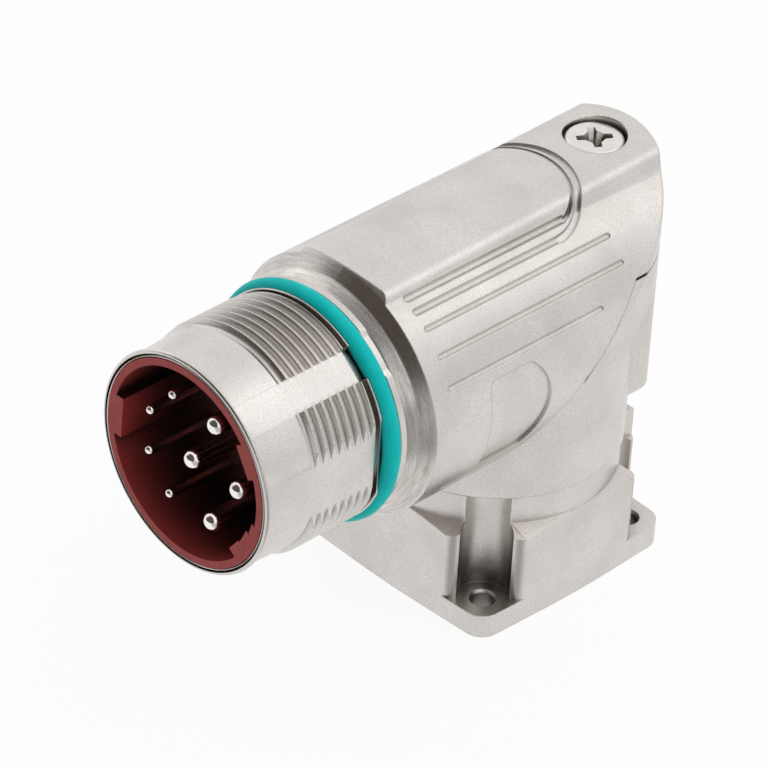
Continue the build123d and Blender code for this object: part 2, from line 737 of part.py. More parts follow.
with BuildPart() as sleeve_o_ring:
    with BuildSketch(Plane.YZ):
        with Locations((stub_seal_position, barrel_height + (stub_groove_radius + barrel_bore_radius) / 2)):
            Circle(stub_seal_section)
    revolve(axis=barrel_axis)
sleeve_o_ring.part.label = "sleeve_o_ring"
export_step(sleeve_o_ring.part, "parts/sleeve_o_ring.step")

# Contact insert: cup with coding keys, and a floor with holes for the contacts
with BuildPart() as insert_body:
    with BuildSketch(cross_plane(sleeve_step - seat_gap)):
        Circle(insert_radius)
    extrude(amount=sleeve_step - seat_gap - mouth)
    with BuildSketch(cross_plane(insert_rear)):
        Circle(insert_rear_radius)
    extrude(amount=insert_rear - sleeve_step + seat_gap)
    with BuildSketch(cross_plane(cup_floor)) as cup:
        Circle(cup_radius)
        for angle, half_width, key_height in keys:
            with Locations(Location((0, 0, 0), (0, 0, angle))):
                with Locations((cup_radius + (cup_wall - key_height) / 2, 0)):
                    Rectangle(cup_wall + key_height, 2 * half_width, mode=Mode.SUBTRACT)
    extrude(amount=cup_floor - mouth, mode=Mode.SUBTRACT)
    with BuildSketch(cross_plane(insert_rear)):
        with Locations(*power_places):
            Circle(power_pin_radius + contact_gap)
        with Locations(*signal_places):
            Circle(signal_pin_radius + contact_gap)
    extrude(amount=insert_rear - mouth, mode=Mode.SUBTRACT)
insert_body.part.label = "insert_body"
export_step(insert_body.part, "parts/insert_body.step")

with BuildPart() as insert_seal:
    with BuildSketch(cross_plane(seal_mat_rear)):
        Circle(carrier_radius)
        with Locations(*power_places):
            Circle(power_pin_radius + contact_gap, mode=Mode.SUBTRACT)
        with Locations(*signal_places):
            Circle(signal_pin_radius + contact_gap, mode=Mode.SUBTRACT)
    extrude(amount=seal_mat_rear - seal_mat_front)
insert_seal.part.label = "insert_seal"
export_step(insert_seal.part, "parts/insert_seal.step")

with BuildPart() as insert_carrier:
    with BuildSketch(cross_plane(carrier_rear)):
        Circle(carrier_radius)
    extrude(amount=carrier_rear - carrier_front)
    with BuildSketch(cross_plane(spring_rear)):
        Circle(sleeve_bore_radius)
        Circle(spring_recess_radius, mode=Mode.SUBTRACT)
    extrude(amount=spring_rear - spring_front, mode=Mode.SUBTRACT)
    with BuildSketch(cross_plane(carrier_rear)):
        with Locations(*power_places):
            Circle(power_barrel_radius + contact_gap)
        with Locations(*signal_places):
            Circle(signal_barrel_radius + contact_gap)
    extrude(amount=carrier_rear - carrier_front, mode=Mode.SUBTRACT)
insert_carrier.part.label = "insert_carrier"
export_step(insert_carrier.part, "parts/insert_carrier.step")

# Slotted spring ring round the carrier, and the ring that holds the insert
with BuildPart() as earth_spring:
    with BuildSketch(cross_plane(spring_rear - seat_gap)):
        Circle(sleeve_bore_radius - seat_gap / 2)
        Circle(spring_recess_radius + seat_gap, mode=Mode.SUBTRACT)
    extrude(amount=spring_rear - spring_front - 2 * seat_gap)
    with BuildSketch(cross_plane(spring_rear - spring_foot)):
        with PolarLocations(sleeve_bore_radius, spring_slot_count):
            Rectangle(4 * spring_recess_depth, spring_slot_width)
    extrude(amount=spring_rear - spring_front, mode=Mode.SUBTRACT)
earth_spring.part.label = "earth_spring"
export_step(earth_spring.part, "parts/earth_spring.step")

with BuildPart() as insert_retaining_ring:
    with BuildSketch(cross_plane(insert_ring_rear)):
        Circle(insert_ring_outer - seat_gap)
        Circle(insert_ring_inner, mode=Mode.SUBTRACT)
        with Locations((0, -insert_ring_outer)):
            Rectangle(insert_ring_gap_width, 3 * insert_ring_width, mode=Mode.SUBTRACT)
    extrude(amount=insert_ring_rear - insert_ring_front)
insert_retaining_ring.part.label = "insert_retaining_ring"
export_step(insert_retaining_ring.part, "parts/insert_retaining_ring.step")

# Turned contacts with a domed tip and a solder cup at the rear
for group, places, tip, pin_radius, cup_size in (
    ("power_pin", power_places, power_tip, power_pin_radius, power_barrel_radius),
    ("signal_pin", signal_places, signal_tip, signal_pin_radius, signal_barrel_radius),
):
    for number, place in enumerate(places, start=1):
        axis_height = barrel_height + place[1]
        shoulder = carrier_front + seat_gap
        cup_bore = solder_cup_share * cup_size
        with BuildPart() as contact:
            with BuildSketch(Plane.YZ.offset(place[0])):
                with BuildLine():
                    CenterArc((tip + pin_radius, axis_height), pin_radius, 90, 90)
                    Polyline(
                        (tip + pin_radius, axis_height + pin_radius), (shoulder, axis_height + pin_radius),
                        (shoulder, axis_height + cup_size), (contact_rear, axis_height + cup_size),
                        (contact_rear, axis_height + cup_bore),
                        (contact_rear - wire_depth, axis_height + cup_bore),
                        (contact_rear - wire_depth, axis_height), (tip, axis_height),
                    )
                make_face()
            revolve(axis=Axis((place[0], 0, axis_height), (0, 1, 0)))
        contact.part.label = f"{group}_{number}"
        export_step(contact.part, f"parts/{group}_{number}.step")
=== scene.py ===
import bmesh
import bpy
import json
from math import cos, hypot, pi, radians, sin
import numpy as np
from mathutils import Matrix, Vector


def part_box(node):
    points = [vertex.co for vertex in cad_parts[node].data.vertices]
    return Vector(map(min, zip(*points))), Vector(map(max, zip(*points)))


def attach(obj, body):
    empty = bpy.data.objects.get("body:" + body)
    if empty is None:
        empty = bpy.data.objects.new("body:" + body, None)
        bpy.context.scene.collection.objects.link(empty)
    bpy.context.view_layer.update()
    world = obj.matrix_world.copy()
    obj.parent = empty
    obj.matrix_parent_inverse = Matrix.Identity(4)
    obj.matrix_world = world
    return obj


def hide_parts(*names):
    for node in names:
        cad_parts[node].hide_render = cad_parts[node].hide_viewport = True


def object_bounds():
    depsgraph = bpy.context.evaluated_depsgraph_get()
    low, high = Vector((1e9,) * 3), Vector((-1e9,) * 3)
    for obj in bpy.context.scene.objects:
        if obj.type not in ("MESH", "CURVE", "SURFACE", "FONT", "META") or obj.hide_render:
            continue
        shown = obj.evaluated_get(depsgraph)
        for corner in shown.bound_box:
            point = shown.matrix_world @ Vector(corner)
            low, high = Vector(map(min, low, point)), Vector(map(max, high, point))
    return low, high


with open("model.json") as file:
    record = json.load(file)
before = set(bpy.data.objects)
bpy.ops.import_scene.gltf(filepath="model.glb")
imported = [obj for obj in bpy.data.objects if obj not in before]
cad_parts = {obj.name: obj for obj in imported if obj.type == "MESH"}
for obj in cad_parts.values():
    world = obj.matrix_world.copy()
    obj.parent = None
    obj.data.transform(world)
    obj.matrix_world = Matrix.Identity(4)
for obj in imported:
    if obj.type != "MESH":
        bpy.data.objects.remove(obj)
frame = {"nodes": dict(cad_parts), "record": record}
cad_low, cad_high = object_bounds()

# Sizes are in millimetres until a mesh or a lamp is made
MM = 0.001

# Camera at the photograph's viewing angle
view_azimuth = 43.98
view_elevation = 35.47
view_roll = 3.46
view_distance = 516.1
view_middle = Vector((-12.97, -1.47, 11.16))     # the point in the middle of the picture
view_lens = 247.1
view_sensor = 36.0

# Coupling sleeve, positions along Y, radii from the barrel axis
sleeve_low, sleeve_high = (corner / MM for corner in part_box("coupling_sleeve"))
axis_height = (sleeve_low.z + sleeve_high.z) / 2
mouth = sleeve_low.y
sleeve_rear = sleeve_high.y
thread_crest = (sleeve_high.z - sleeve_low.z) / 2
mouth_radius = 10.4
bore_radius = 9.4
bore_step = -31.0
lip_radius = 11.1
lip_round = 0.35
thread_start = -34.7
thread_end = -26.7
thread_pitch = 1.0
thread_root = 11.0
thread_crest_flat = 0.08
thread_root_flat = 0.3
thread_flank = (thread_pitch - thread_crest_flat - thread_root_flat) / 2
thread_phase = -33.8            # a crest's middle on the side that faces the camera, 42 degrees up
thread_phase_angle = radians(42)
thread_lead_in = 0.5
undercut_radius = 10.6
fence_front = -26.15
fence_rear = -25.9
seal_groove_rear = -24.15
seal_groove_radius = 10.25
collar_radius = 11.6
barrel_front = -23.4
bevel_rear = -21.15
stub_radius = 10.85
stub_groove_front = -20.1
stub_groove_rear = -18.9
stub_groove_radius = 9.88
ring_groove_front = -14.55
ring_groove_rear = -13.65
ring_groove_radius = 9.75
slot_angles = (50, 230)
slot_half_angle = 8.4
slot_floor = 10.93
side_flat = 10.7                # distance of the two side flats from the axis
notch_half_angle = 12.2
notch_slope = 3.5               # degrees of each end over which its wall rises
notch_depth = 0.25
notch_floor = collar_radius - notch_depth
corner_break = 0.08             # small bevel on turned corners
weld_distance = 0.002

# Seal between the fence and the collar
seal_low, seal_high = (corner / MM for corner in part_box("coupling_o_ring"))
seal_outer = (seal_high.z - seal_low.z) / 2
seal_thick = (seal_high.y - seal_low.y) / 2
seal_flash = 0.03               # height of the mould's parting line

# Cover screw, whose head nearly fills its counterbore
screw_low, screw_high = (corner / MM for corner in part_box("cover_screw"))
screw_axis = ((screw_low.x + screw_high.x) / 2, (screw_low.y + screw_high.y) / 2)
screw_sink = 0.12               # of the head below the plain solid's
screw_top = screw_high.z - screw_sink
screw_head_radius = 2.93
screw_head_height = 1.85
screw_edge_round = 0.42
screw_shank_radius = 1.5
screw_tip_bevel = 0.5
cross_reach = 1.78
cross_half_width = 0.44
cross_tip_share = 0.85          # of a wing's width that is left at its tip
cross_core = 0.98               # where the wings leave the middle of the cross
cross_depth = 1.5
cross_floor_share = 0.5
cross_turn = radians(57)
cross_rise = 0.1                # of the cutter above the head, at the taper of the cross
cross_growth = 1 + cross_rise * (1 - cross_floor_share) / cross_depth

# Pockets over the flange's bolt holes
bolt_half = 9.9
pocket_wall = 7.4
pocket_round = 0.4              # on the solid's outer edge beside the pocket
scallop_radius = 2.55
scallop_meeting = 225           # degrees round the bolt hole where the cheek's bulge ends
scallop_run = 33                # degrees of the scallop that the cheek follows
flange_side = 12.7              # of the crowned side where the pocket opens
plate_thick = 2.5
block_height = 10.5
block_fall = 0.42
ring_radius = 12.85
cheek_bulge = 0.2
cheek_overlap = 0.5
cheek_rise = 0.015              # of its top above the block's, so that the two do not flicker


# Node helpers

class Graph:
    """The nodes of a material or a world."""

    def __init__(self, tree):
        self.nodes = tree.nodes
        self.links = tree.links

    def feed(self, value, socket):
        """Links another node's output to a socket, or writes a plain value on it."""
        if isinstance(value, bpy.types.NodeSocket):
            self.links.new(value, socket)
        else:
            socket.default_value = value

    def vector_math(self, operation, first, second=None, scale=None):
        node = self.nodes.new("ShaderNodeVectorMath")
        node.operation = operation
        self.feed(first, node.inputs[0])
        if second is not None:
            self.feed(second, node.inputs[1])
        if scale is not None:
            node.inputs["Scale"].default_value = scale
        return node.outputs["Value" if operation in ("DOT_PRODUCT", "LENGTH") else "Vector"]

    def coordinate(self, vector, axis):
        """One of a vector's three numbers."""
        node = self.nodes.new("ShaderNodeSeparateXYZ")
        self.feed(vector, node.inputs["Vector"])
        return node.outputs[axis]

    def math(self, operation, first, second):
        node = self.nodes.new("ShaderNodeMath")
        node.operation = operation
        self.feed(first, node.inputs[0])
        self.feed(second, node.inputs[1])
        return node.outputs["Value"]

    def mix(self, share, first, second):
        """Number that runs from first to second with share."""
        return self.math("ADD", first, self.math("MULTIPLY", share, self.math("SUBTRACT", second, first)))

    def remap(self, value, low, high, to_low=0, to_high=1, smooth=False):
        """Number that runs from to_low to to_high, and no further, as value runs from low to high."""
        node = self.nodes.new("ShaderNodeMapRange")
        if smooth:
            node.interpolation_type = "SMOOTHSTEP"
        self.feed(value, node.inputs["Value"])
        for name, number in (("From Min", low), ("From Max", high), ("To Min", to_low), ("To Max", to_high)):
            node.inputs[name].default_value = number
        return node.outputs["Result"]

    def blend_colors(self, share, first, second):
        """Color that runs from first to second with share."""
        node = self.nodes.new("ShaderNodeMix")
        node.data_type = "RGBA"
        self.feed(share, node.inputs["Factor"])
        color_sockets = [socket for socket in node.inputs if socket.type == "RGBA"]
        for color, socket in zip((first, second), color_sockets):
            self.feed((*color, 1) if isinstance(color, tuple) else color, socket)
        return next(socket for socket in node.outputs if socket.type == "RGBA")

    def mix_shaders(self, share, first, second):
        """Shader that runs from first to second with share."""
        node = self.nodes.new("ShaderNodeMixShader")
        for value, socket in zip((share, first, second), node.inputs):
            self.feed(value, socket)
        return node.outputs["Shader"]


class Finish(Graph):
    """A procedural material with its coordinates in millimetres."""

    def __init__(self, name, metallic, roughness, color, specular=0.5):
        self.material = bpy.data.materials.new(name)
        self.material.use_nodes = True
        super().__init__(self.material.node_tree)
        self.shader = self.nodes["Principled BSDF"]
        self.shader.inputs["Metallic"].default_value = metallic
        self.shader.inputs["Roughness"].default_value = roughness
        self.shader.inputs["Base Color"].default_value = (*color, 1)
        self.shader.inputs["Specular IOR Level"].default_value = specular
        place = self.nodes.new("ShaderNodeTexCoord")
        self.place = self.vector_math("SCALE", place.outputs["Object"], scale=1 / MM)
        self.surface = None

    def connect(self, value, name):
        self.links.new(value, self.shader.inputs[name])

    def noise(self, size, detail=2.0, roughness=0.5, stretch=None):
        """Noise with spots of about size millimetres, its place multiplied by stretch along each axis."""
        node = self.nodes.new("ShaderNodeTexNoise")
        node.inputs["Scale"].default_value = 1 / size
        node.inputs["Detail"].default_value = detail
        node.inputs["Roughness"].default_value = roughness
        source = self.place if stretch is None else self.vector_math("MULTIPLY", self.place, stretch)
        self.links.new(source, node.inputs["Vector"])
        return node.outputs["Fac"]

    def cloudy(self, size, first, second):
        """Color that drifts between two in patches of about size millimetres."""
        return self.blend_colors(self.remap(self.noise(size, detail=3), 0.35, 0.65), first, second)

    def cavity(self, distance, open_at=0.85, closed_at=0.2, own=True):
        """0 on open faces, up to 1 in hollows about distance wide: its own, or also those between pieces."""
        node = self.nodes.new("ShaderNodeAmbientOcclusion")
        node.samples = 6
        node.only_local = own
        node.inputs["Distance"].default_value = distance * MM
        return self.remap(node.outputs["AO"], open_at, closed_at)

    def rounded(self, radius):
        """Normal that turns softly over edges, within radius of them."""
        node = self.nodes.new("ShaderNodeBevel")
        node.inputs["Radius"].default_value = radius * MM
        node.samples = 4
        return node.outputs["Normal"]

    def edges(self, radius):
        """1 on convex or concave edges within radius, 0 on open faces."""
        plain = self.nodes.new("ShaderNodeNewGeometry")
        facing = self.vector_math("DOT_PRODUCT", self.rounded(radius), plain.outputs["Normal"])
        return self.remap(facing, 0.99, 0.8)

    def round_edges(self, radius):
        self.surface = self.rounded(radius)
        self.connect(self.surface, "Normal")

    def bump(self, height, depth):
        """Relief of depth millimetres on top of what is there already."""
        node = self.nodes.new("ShaderNodeBump")
        node.inputs["Strength"].default_value = 1
        node.inputs["Distance"].default_value = depth * MM
        self.links.new(height, node.inputs["Height"])
        if self.surface is not None:
            self.links.new(self.surface, node.inputs["Normal"])
        self.surface = node.outputs["Normal"]
        self.connect(self.surface, "Normal")


def cast_nickel(name, machined_before=None, edge_round=0.18, painted_shade_share=0.95, painted_reflection_share=0):
    """Satin nickel over a fine die-cast grain, with painted shade in its hollows.

    Where a place along Y is given, the metal in front of it is machined: glossier, with streaks round the
    axis. edge_round is the radius of its edges, which also get a painted highlight. painted_shade_share is
    the share of painted shade in its hollows and creases, and painted_reflection_share the share of painted
    dark reflection where a face turns from one side of the block to the next.
    """
    grain_color = (0.49, 0.455, 0.425)
    painted_edge_highlight = (0.80, 0.775, 0.75)
    streak_color = (0.36, 0.32, 0.285)
    painted_reflection_color = (0.17, 0.15, 0.135)
    painted_shade_color = (0.07, 0.058, 0.05)
    f = Finish(name, 1.0, 0.32, (0.69, 0.66, 0.63))
    grain = f.noise(0.12, detail=2, roughness=0.75)
    color = f.cloudy(6.0, (0.655, 0.622, 0.592), (0.740, 0.706, 0.675))
    color = f.blend_colors(f.remap(grain, 0.44, 0.66, 0, 0.75), color, grain_color)
    # Painted highlight: edges, convex and concave, are lightened.
    if edge_round:
        color = f.blend_colors(f.remap(f.edges(0.2), 0, 1, 0, 0.3), color, painted_edge_highlight)
    rough = f.remap(f.noise(2.5, detail=4), 0.3, 0.7, 0.29, 0.36)
    if machined_before is not None:
        machined = f.remap(f.coordinate(f.place, "Y"), machined_before - 0.1, machined_before + 0.1, 1, 0)
        streaks = f.noise(1.6, detail=5, roughness=0.65, stretch=(0.5, 5.0, 0.5))
        streaked = f.math("MULTIPLY", machined, f.remap(streaks, 0.42, 0.7, 0, 0.75))
        color = f.blend_colors(streaked, color, streak_color)
        rough = f.mix(machined, rough, f.remap(streaks, 0.3, 0.7, 0.14, 0.26))
    # Painted dark reflection: faces that turn across a corner of the block are darkened by the direction of
    # their normal.
    if painted_reflection_share:
        facing = f.nodes.new("ShaderNodeNewGeometry").outputs["Normal"]
        turned = f.math("MULTIPLY", f.coordinate(facing, "X"), f.coordinate(facing, "Y"))
        turned = f.math("MULTIPLY", turned, turned)
        color = f.blend_colors(f.remap(turned, 0.02, 0.22, 0, painted_reflection_share), color, painted_reflection_color)
    # Painted shade: hollows and creases are darkened towards a near-black brown by ambient occlusion.
    painted_hollow_shade = f.remap(f.cavity(6.0, open_at=0.74, closed_at=0.28), 0, 1, 0, painted_shade_share)
    painted_crease_shade = f.remap(f.cavity(0.5, open_at=0.8, closed_at=0.45), 0, 1, 0, 0.6 * painted_shade_share)
    f.connect(f.blend_colors(f.math("MAXIMUM", painted_hollow_shade, painted_crease_shade), color, painted_shade_color), "Base Color")
    f.connect(rough, "Roughness")
    if edge_round:
        f.round_edges(edge_round)
    f.bump(f.noise(3.0, detail=1), depth=0.016)
    f.bump(grain, depth=0.012)
    return f.material


def turned_nickel(name):
    """Turned and plated metal, with fine lines that run round the barrel axis, painted shade in its grooves
    and a painted highlight on its edges.
    """
    grain_color = (0.47, 0.44, 0.41)
    painted_edge_highlight = (0.84, 0.82, 0.79)
    painted_groove_shade_color = (0.16, 0.14, 0.125)
    f = Finish(name, 1.0, 0.3, (0.67, 0.64, 0.61))
    lines = f.noise(1.0, detail=4, roughness=0.7, stretch=(0.15, 14.0, 0.15))
    grain = f.noise(0.18, detail=3, roughness=0.7)
    color = f.cloudy(5.0, (0.655, 0.622, 0.592), (0.715, 0.682, 0.652))
    color = f.blend_colors(f.remap(grain, 0.46, 0.72, 0, 0.6), color, grain_color)
    # Painted highlight: edges, the thread's crests among them, are lightened.
    color = f.blend_colors(f.remap(f.edges(0.1), 0, 1, 0, 0.6), color, painted_edge_highlight)
    # Painted shade: the thread's grooves are darkened by ambient occlusion.
    painted_groove_shade = f.remap(f.cavity(0.7, open_at=0.85, closed_at=0.4), 0, 1, 0, 0.85)
    f.connect(f.blend_colors(painted_groove_shade, color, painted_groove_shade_color), "Base Color")
    f.connect(f.remap(lines, 0.3, 0.7, 0.22, 0.32), "Roughness")
    f.round_edges(0.06)
    f.bump(lines, depth=0.006)
    f.bump(grain, depth=0.005)
    return f.material


def rubber(name, low, high, specular=0.3, painted_deep_shade=None):
    """Moulded rubber with soft unevenness, and painted shade in the gaps beside it."""
    roughness = 0.42
    f = Finish(name, 0.0, roughness, low, specular=specular)
    color = f.cloudy(1.8, low, high)
    if painted_deep_shade is not None:
        # Painted shade where the rubber sits close to other pieces.
        color = f.blend_colors(f.cavity(1.2, open_at=0.62, closed_at=0.25, own=False), color, painted_deep_shade)
    f.connect(color, "Base Color")
    f.connect(f.remap(f.noise(0.6, detail=2), 0.3, 0.7, roughness - 0.06, roughness + 0.08), "Roughness")
    f.bump(f.noise(0.9, detail=2), depth=0.015)
    f.bump(f.noise(0.12, detail=2), depth=0.004)
    return f.material


def plastic(name, low, high, roughness=0.35, painted_deep_shade=None):
    """Moulded plastic with a fine spark-eroded skin, and painted shade at the bottom of its hollows."""
    f = Finish(name, 0.0, roughness, low, specular=0.3)
    color = f.cloudy(3.0, low, high)
    if painted_deep_shade is not None:
        # Painted shade at the bottom of deep hollows, such as the insert's cup.
        color = f.blend_colors(f.cavity(10.0, open_at=0.97, closed_at=0.7), color, painted_deep_shade)
    f.connect(color, "Base Color")
    f.connect(f.remap(f.noise(0.5, detail=3), 0.3, 0.7, roughness - 0.05, roughness + 0.1), "Roughness")
    f.bump(f.noise(0.3, detail=2), depth=0.002)
    return f.material


def bright_metal(name, low, high, roughness, grain=0.25, relief=0.003, painted_deep_shade=None, painted_sunk_shade=None):
    """Bright plated metal, with painted shade in its own hollows and where another piece surrounds it."""
    f = Finish(name, 1.0, roughness, low)
    color = f.cloudy(1.2, low, high)
    if painted_deep_shade is not None:
        # Painted shade in its own hollows, such as the screw's cross recess.
        color = f.blend_colors(f.cavity(1.6, open_at=0.9, closed_at=0.3), color, painted_deep_shade)
    if painted_sunk_shade is not None:
        # Painted shade where another piece surrounds it, such as the contacts deep in the insert's cup.
        color = f.blend_colors(f.cavity(8.0, open_at=0.4, closed_at=0.12, own=False), color, painted_sunk_shade)
    f.connect(color, "Base Color")
    f.connect(f.remap(f.noise(grain, detail=3), 0.3, 0.7, roughness * 0.8, roughness * 1.3), "Roughness")
    f.round_edges(0.06)
    f.bump(f.noise(grain, detail=3), depth=relief)
    return f.material


finishes = {
    "nickel_housing": cast_nickel("nickel_housing"),
    "nickel_sleeve": turned_nickel("nickel_sleeve"),
    "teal_seal": rubber(
        "teal_seal", (0.006, 0.52, 0.505), (0.007, 0.57, 0.555), specular=0.08, painted_deep_shade=(0.004, 0.03, 0.03),
    ),
    "black_seal": rubber("black_seal", (0.020, 0.020, 0.022), (0.032, 0.032, 0.034)),
    "grey_seal": rubber("grey_seal", (0.20, 0.21, 0.22), (0.25, 0.26, 0.27)),
    "slide_plastic": plastic("slide_plastic", (0.70, 0.68, 0.60), (0.76, 0.74, 0.66)),
    "red_insert": plastic(
        "red_insert", (0.34, 0.038, 0.034), (0.37, 0.044, 0.040), roughness=0.45,
        painted_deep_shade=(0.028, 0.0085, 0.0078),
    ),
    "black_carrier": plastic("black_carrier", (0.022, 0.022, 0.024), (0.034, 0.034, 0.036)),
    "spring_bronze": bright_metal("spring_bronze", (0.62, 0.40, 0.20), (0.70, 0.47, 0.26), roughness=0.22),
    "spring_steel": bright_metal("spring_steel", (0.36, 0.36, 0.37), (0.44, 0.44, 0.45), roughness=0.3),
    "screw_steel": bright_metal(
        "screw_steel", (0.72, 0.69, 0.66), (0.77, 0.74, 0.71), roughness=0.2,
        grain=0.6, relief=0.002, painted_deep_shade=(0.30, 0.27, 0.25),
    ),
    "contact_plating": bright_metal(
        "contact_plating", (0.86, 0.84, 0.80), (0.92, 0.90, 0.87), roughness=0.08, painted_sunk_shade=(0.05, 0.016, 0.015),
    ),
}

for subpart in frame["record"]["subparts"]:
    for slot in frame["nodes"][subpart["node"]].material_slots:
        slot.material = finishes[subpart["material_slot"]]
machined_nickel = cast_nickel(
    "nickel_housing_machined", machined_before=bevel_rear, edge_round=0.25, painted_shade_share=0.25,
)
for slot in frame["nodes"]["upper_housing"].material_slots:
    slot.material = machined_nickel


# Coupling sleeve with its helical thread, turned as one closed section and then milled

def sleeve_angles():
    """Angles round the axis: even steps, with a close pair at every milled wall."""
    steps = 480
    wall_half = 0.08                # degrees on each side of a wall for its close pair
    clear = 0.2                     # degrees beside a wall that even steps leave free
    walls = []
    for middle in slot_angles:
        for half in (slot_half_angle, notch_half_angle):
            for side in (-1, 1):
                wall = middle + side * half
                walls += [wall - wall_half, wall + wall_half]
    even = [360 * i / steps for i in range(steps)]
    kept = [a for a in even if min(abs(a - w) for w in walls) > clear]
    return np.radians(sorted(kept + walls))


def thread_radius(y, angle):
    """Radius of a right-hand thread at y and angle."""
    turn = (y - thread_phase) / thread_pitch - (angle - thread_phase_angle) / (2 * pi)
    from_crest = np.abs(turn - np.round(turn)) * thread_pitch
    share = np.clip((from_crest - thread_crest_flat / 2) / thread_flank, 0, 1)
    return thread_crest + (thread_root - thread_crest) * share


def degrees_from(middle, angle):
    """How far each angle is from middle, in degrees, the shorter way round."""
    return np.abs((np.degrees(angle) - middle + 180) % 360 - 180)


def thread_rows(angle):
    """Rows that follow the thread's crests, flanks and roots, clamped to the threaded length."""
    flank_steps = 4
    falling = [thread_crest_flat / 2 + thread_flank * i / flank_steps for i in range(flank_steps + 1)]
    offsets = [-x for x in reversed(falling)] + falling
    turns = int((thread_end - thread_start) / thread_pitch) + 2
    first = round((thread_start - thread_phase) / thread_pitch) - 1
    rows = []
    for turn in range(first, first + turns + 1):
        for offset in offsets:
            middle = thread_phase + thread_pitch * (turn + (angle - thread_phase_angle) / (2 * pi))
            rows.append(np.clip(middle + offset, thread_start, thread_end))
    radii = []
    for y in rows:
        ramp = lip_radius + (y - thread_start) / thread_lead_in * (thread_crest - lip_radius)
        radii.append(np.minimum(thread_radius(y, angle), np.maximum(ramp, lip_radius)))
    return rows, radii


def milled(radius, angle):
    """Cuts the gaps and the two side flats into a radius of the threaded zone."""
    least = 0.05                    # keeps the flats' planes at a finite radius above and below the axis
    cut = np.minimum(radius, side_flat / np.maximum(np.abs(np.cos(angle)), least))
    for middle in slot_angles:
        inside = degrees_from(middle, angle) < slot_half_angle
        plane = slot_floor / np.cos(angle - radians(middle))
        cut = np.where(inside, np.minimum(cut, plane), cut)
    return cut


def fenced(radius, angle):
    """Cuts the fence before the seal: away at the gaps, and with the side flats."""
    cut = milled(radius, angle)
    for middle in slot_angles:
        inside = degrees_from(middle, angle) < slot_half_angle
        cut = np.where(inside, undercut_radius, cut)
    return cut


def notched(radius, angle):
    """Cuts the notches of the collar, each with a sloping wall at its ends."""
    cut = radius
    for middle in slot_angles:
        away = degrees_from(middle, angle)
        rise = np.clip((away - notch_half_angle + notch_slope) / notch_slope, 0, 1)
        cut = np.minimum(cut, notch_floor + np.maximum(cut - notch_floor, 0) * rise)
    return cut


def sleeve_mesh():
    """Section of the sleeve: round the mouth, along the outside, and back through the bore."""
    angle = sleeve_angles()
    ys = []
    radii = []

    def ring(y, radius):
        ys.append(np.full(len(angle), float(y)))
        radii.append(np.broadcast_to(radius, len(angle)).astype(float))

    b = corner_break
    ring(bore_step, bore_radius)
    ring(bore_step, mouth_radius)
    ring(mouth + b, mouth_radius)
    ring(mouth, mouth_radius + b)
    # Known fault: the arc's rows run backwards, from its rear end to the mouth. The section folds over
    # itself here, and the faces of the whole piece come out pointing inwards.
    ring(mouth + lip_round, lip_radius - lip_round)
    arc_steps = 6
    for step in range(1, arc_steps + 1):
        bend = radians(90 * step / arc_steps)
        ring(mouth + lip_round * (1 - sin(bend)), lip_radius - lip_round * (1 - cos(bend)))
    rows, row_radii = thread_rows(angle)
    for y, radius in zip(rows, row_radii):
        ys.append(y)
        radii.append(milled(radius, angle))
    ring(thread_end, undercut_radius)
    ring(fence_front, undercut_radius)
    ring(fence_front, fenced(thread_crest - b, angle))
    ring(fence_front + b, fenced(thread_crest, angle))
    ring(fence_rear - b, fenced(thread_crest, angle))
    ring(fence_rear, fenced(thread_crest - b, angle))
    ring(fence_rear, seal_groove_radius)
    ring(seal_groove_rear, seal_groove_radius)
    ring(seal_groove_rear, notched(collar_radius - b, angle))
    ring(seal_groove_rear + b, notched(collar_radius, angle))
    ring(barrel_front, notched(collar_radius, angle))
    ring(barrel_front, undercut_radius)
    ring(barrel_front, stub_radius)
    ring(stub_groove_front, stub_radius)
    ring(stub_groove_front, stub_groove_radius)
    ring(stub_groove_rear, stub_groove_radius)
    ring(stub_groove_rear, stub_radius)
    ring(sleeve_rear, stub_radius)
    ring(sleeve_rear, bore_radius)
    ring(ring_groove_rear, bore_radius)
    ring(ring_groove_rear, ring_groove_radius)
    ring(ring_groove_front, ring_groove_radius)
    ring(ring_groove_front, bore_radius)

    return ring_mesh("threaded_sleeve", np.array(ys), np.array(radii), angle)


def ring_mesh(name, y, radius, angle):
    """Closed mesh round the barrel axis: one row of y and radius for each corner of its section."""
    points = np.stack([radius * np.cos(angle), y, axis_height + radius * np.sin(angle)], axis=-1) * MM
    rings, columns = y.shape
    corner = np.arange(rings * columns).reshape(rings, columns)
    right = np.roll(corner, -1, axis=1)
    faces = np.stack([
        corner, right, np.roll(right, -1, axis=0), np.roll(corner, -1, axis=0),
    ], axis=-1).reshape(-1, 4)
    mesh = bpy.data.meshes.new(name)
    mesh.from_pydata(points.reshape(-1, 3).tolist(), [], faces.tolist())
    return mesh


def seal_mesh():
    """Ring of round section, pressed between fence and collar, with a faint parting line round its crest."""
    angle = np.radians(np.arange(0, 360, 1.5))
    steps = 40
    half_width = (seal_groove_rear - fence_rear) / 2
    middle = (seal_groove_rear + fence_rear) / 2
    ys = []
    radii = []
    for step in range(steps):
        around = 2 * pi * step / steps
        flash = seal_flash if step == steps // 4 else 0
        ys.append(np.full(len(angle), middle + half_width * cos(around)))
        radii.append(np.full(len(angle), seal_outer - seal_flash - seal_thick * (1 - sin(around)) + flash))
    return ring_mesh("seal", np.array(ys), np.array(radii), angle)


